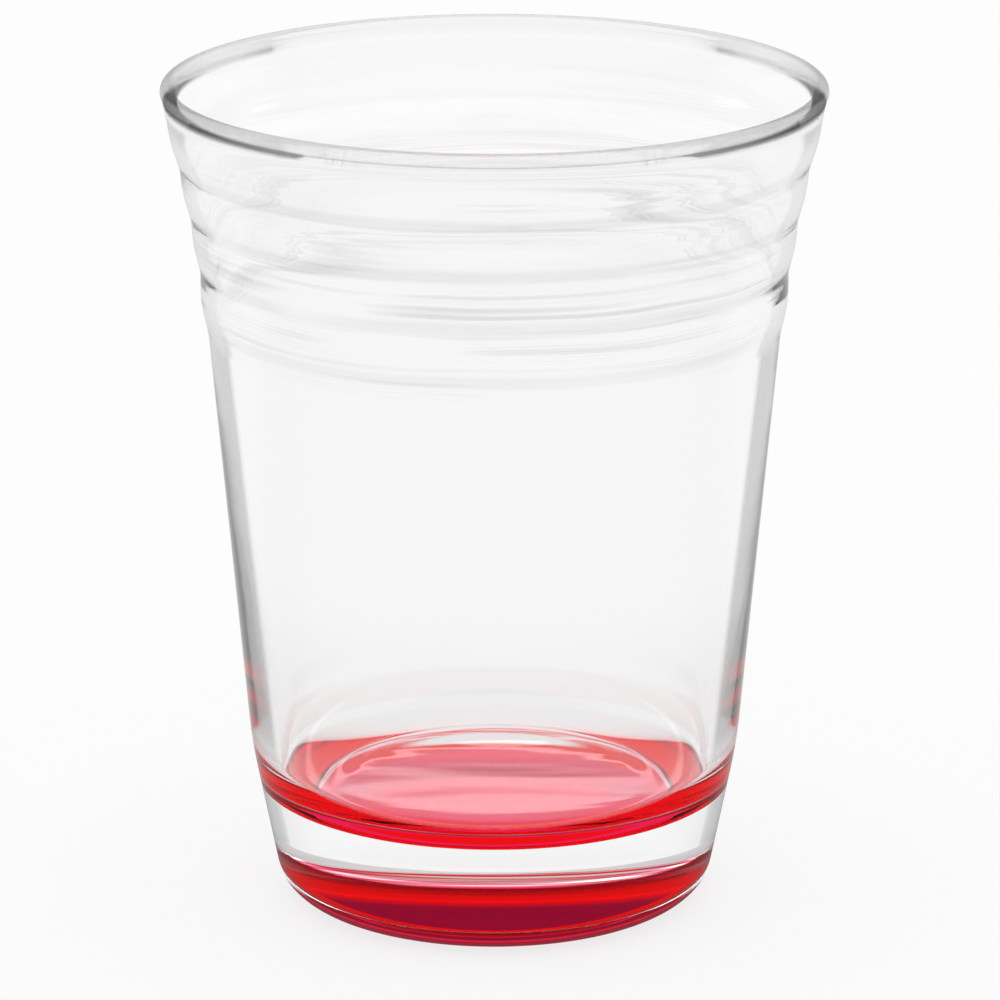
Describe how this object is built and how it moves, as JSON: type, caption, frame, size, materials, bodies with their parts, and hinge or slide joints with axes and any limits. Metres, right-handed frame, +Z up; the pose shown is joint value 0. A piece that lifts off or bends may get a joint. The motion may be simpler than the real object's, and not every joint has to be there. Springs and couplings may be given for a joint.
{
  "type": "glass party cup",
  "caption": "Clear glass party cup with a flared ringed mouth, a rounded lip, a tapered body and a thick solid base with see-through red lacquer underneath.",
  "frame": {"origin": "centre of the base, in the plane of the table that the cup stands on", "axes": "+Z up along the cup's axis, from the base to the mouth; the cup is round, so X and Y are free"},
  "size_m": [0.095, 0.095, 0.121],
  "materials": {
    "clear_glass": "clear moulded glass, fire polished",
    "red_lacquer": "see-through red lacquer, gloss"
  },
  "bodies": {
    "root": {"glass_cup": "clear_glass", "base_coat": "red_lacquer"}
  },
  "joints": []
}
